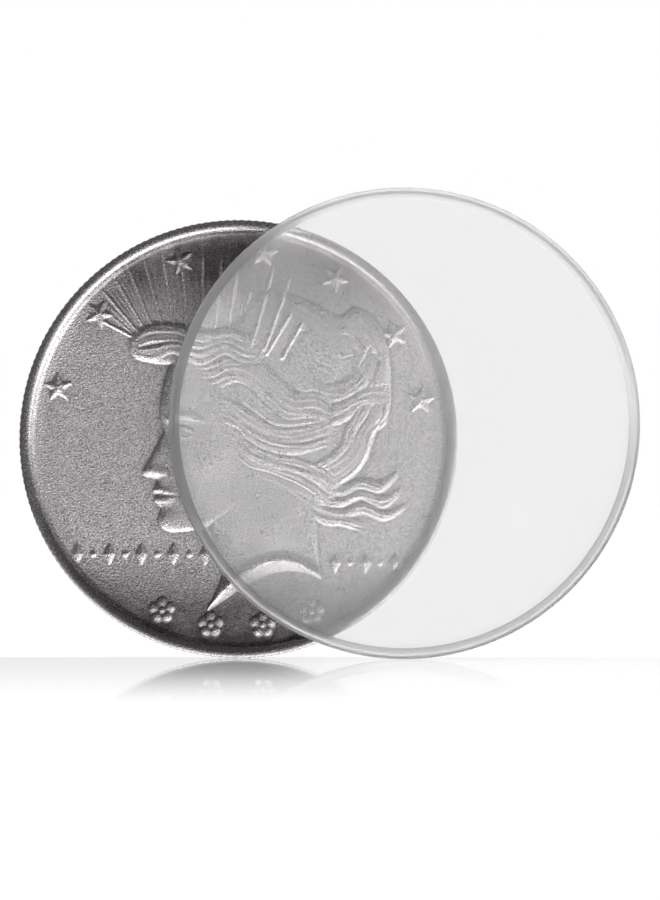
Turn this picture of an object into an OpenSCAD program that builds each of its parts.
// Round two-piece coin capsule, standing on its rim, with the coin that it is sized for.
// The rear shell is the base. The front shell is the lid: its outer lip slides over the base's
// inner lip. The coin stands behind the capsule, drawn out to one side.
// Millimetres, +Z up, the discs face -Y. The origin is the middle of the footprint, on the floor.

/* [Coin] */
// Diameter of the coin
coin_d = 38.1; // [36:0.1:40]
// Thickness of the coin at its rim
coin_t = 2.4; // [2:0.1:3]
// Radial width of the coin's raised rim
coin_rim_w = 1; // [0.6:0.1:2]
// How far the coin's rim stands above its fields
coin_rim_h = 0.4; // [0.1:0.05:0.5]

/* [Capsule] */
// Radial gap between the coin and its seat
seat_gap = 0.15; // [0.1:0.05:0.3]
// Axial play of the coin between the closed windows
seat_play = 0.5; // [0.2:0.1:1]
// Thickness of each clear window
window_t = 1.2; // [1:0.1:2]
// Thickness of the base's inner lip
inner_lip_t = 0.55; // [0.5:0.05:1]
// Thickness of the lid's outer lip
outer_lip_t = 0.6; // [0.55:0.05:1]
// Radial width of the bevel round each window
bevel_w = 0.9; // [0.5:0.1:1.2]
// Axial depth of that bevel
bevel_h = 0.5; // [0.3:0.1:0.8]

/* [Closure] */
// Radial clearance between the two lips
lip_gap = 0.05; // [0.03:0.01:0.1]
// Axial gap between parts that face each other when shut
face_gap = 0.05; // [0.03:0.01:0.1]
// Height of the base's shoulder above its rear face, where the shells part
shoulder_h = 2.6; // [2.2:0.1:3]
// Width of the snap bead and of its groove
snap_w = 0.5; // [0.4:0.1:0.6]
// How far the bead stands out of the inner lip
snap_h = 0.035; // [0.02:0.005:0.04]
// Chamfer on the edges at the parting line
parting_chamfer = 0.12; // [0.05:0.01:0.2]

/* [Layout] */
// Sideways distance between the capsule's axis and the coin's
coin_offset = 14.4; // [0:0.1:30]
// Clear distance between the capsule's back and the coin
coin_gap = 0.6; // [0.3:0.1:5]

/* [Hidden] */
$fn = 180;

coin_r = coin_d / 2;
seat_r = coin_r + seat_gap;
inner_lip_r = seat_r + inner_lip_t;
outer_lip_r = inner_lip_r + lip_gap;
capsule_r = outer_lip_r + outer_lip_t;
capsule_t = 2 * window_t + coin_t + seat_play;
lid_window_at = capsule_t - window_t;
inner_lip_top = lid_window_at - face_gap;
outer_lip_end = shoulder_h + face_gap;
snap_at = (outer_lip_end + inner_lip_top) / 2;
groove_depth = snap_h + lip_gap;
edge_break = 0.1;

// The bounding box of capsule and coin is centred on the origin, and both stand on z = 0.
capsule_x = (coin_offset + coin_r - capsule_r) / 2;
coin_x = capsule_x - coin_offset;
depth = capsule_t + coin_gap + coin_t;
coin_back_y = depth / 2;
capsule_back_y = coin_back_y - coin_t - coin_gap;

// Turns a profile (radius, height from the rear face) into a solid whose axis runs to the front.
module turned(x, back_y, radius) {
    translate([x, back_y, radius])
        rotate([90, 0, 0])
            rotate_extrude()
                children();
}

// Section of the base, from its axis outwards: bevelled rear face, shoulder, inner lip and bead.
module rear_section() {
    polygon([
        [0, 0],
        [capsule_r - bevel_w, 0],
        [capsule_r - edge_break, bevel_h - edge_break],
        [capsule_r, bevel_h],
        [capsule_r, shoulder_h - parting_chamfer],
        [capsule_r - parting_chamfer, shoulder_h],
        [inner_lip_r, shoulder_h],
        [inner_lip_r, snap_at - snap_w / 2],
        [inner_lip_r + snap_h, snap_at - snap_w / 8],
        [inner_lip_r + snap_h, snap_at + snap_w / 8],
        [inner_lip_r, snap_at + snap_w / 2],
        [inner_lip_r, inner_lip_top - edge_break],
        [inner_lip_r - edge_break, inner_lip_top],
        [seat_r, inner_lip_top],
        [seat_r, window_t],
        [0, window_t],
    ]);
}

// Section of the lid: bevelled front face, and the outer lip with the groove for the bead.
module front_section() {
    polygon([
        [0, lid_window_at],
        [outer_lip_r, lid_window_at],
        [outer_lip_r, snap_at + snap_w / 2],
        [outer_lip_r + groove_depth, snap_at + snap_w / 4],
        [outer_lip_r + groove_depth, snap_at - snap_w / 4],
        [outer_lip_r, snap_at - snap_w / 2],
        [outer_lip_r, outer_lip_end + edge_break],
        [outer_lip_r + edge_break, outer_lip_end],
        [capsule_r - parting_chamfer, outer_lip_end],
        [capsule_r, outer_lip_end + parting_chamfer],
        [capsule_r, capsule_t - bevel_h],
        [capsule_r - edge_break, capsule_t - bevel_h + edge_break],
        [capsule_r - bevel_w, capsule_t],
        [0, capsule_t],
    ]);
}

// Section of the coin: fields on both faces, and a raised rim with broken edges.
module coin_section() {
    rim_in = coin_r - coin_rim_w;
    polygon([
        [0, coin_rim_h],
        [rim_in - coin_rim_h, coin_rim_h],
        [rim_in, 0],
        [coin_r - edge_break, 0],
        [coin_r, edge_break],
        [coin_r, coin_t - edge_break],
        [coin_r - edge_break, coin_t],
        [rim_in, coin_t],
        [rim_in - coin_rim_h, coin_t - coin_rim_h],
        [0, coin_t - coin_rim_h],
    ]);
}

module rear_shell() {
    color([0.93, 0.94, 0.95, 0.4])
        turned(capsule_x, capsule_back_y, capsule_r)
            rear_section();
}

module front_shell() {
    color([0.93, 0.94, 0.95, 0.4])
        turned(capsule_x, capsule_back_y, capsule_r)
            front_section();
}

module coin() {
    color([0.66, 0.65, 0.65])
        turned(coin_x, coin_back_y, coin_r)
            coin_section();
}

rear_shell();
front_shell();
coin();
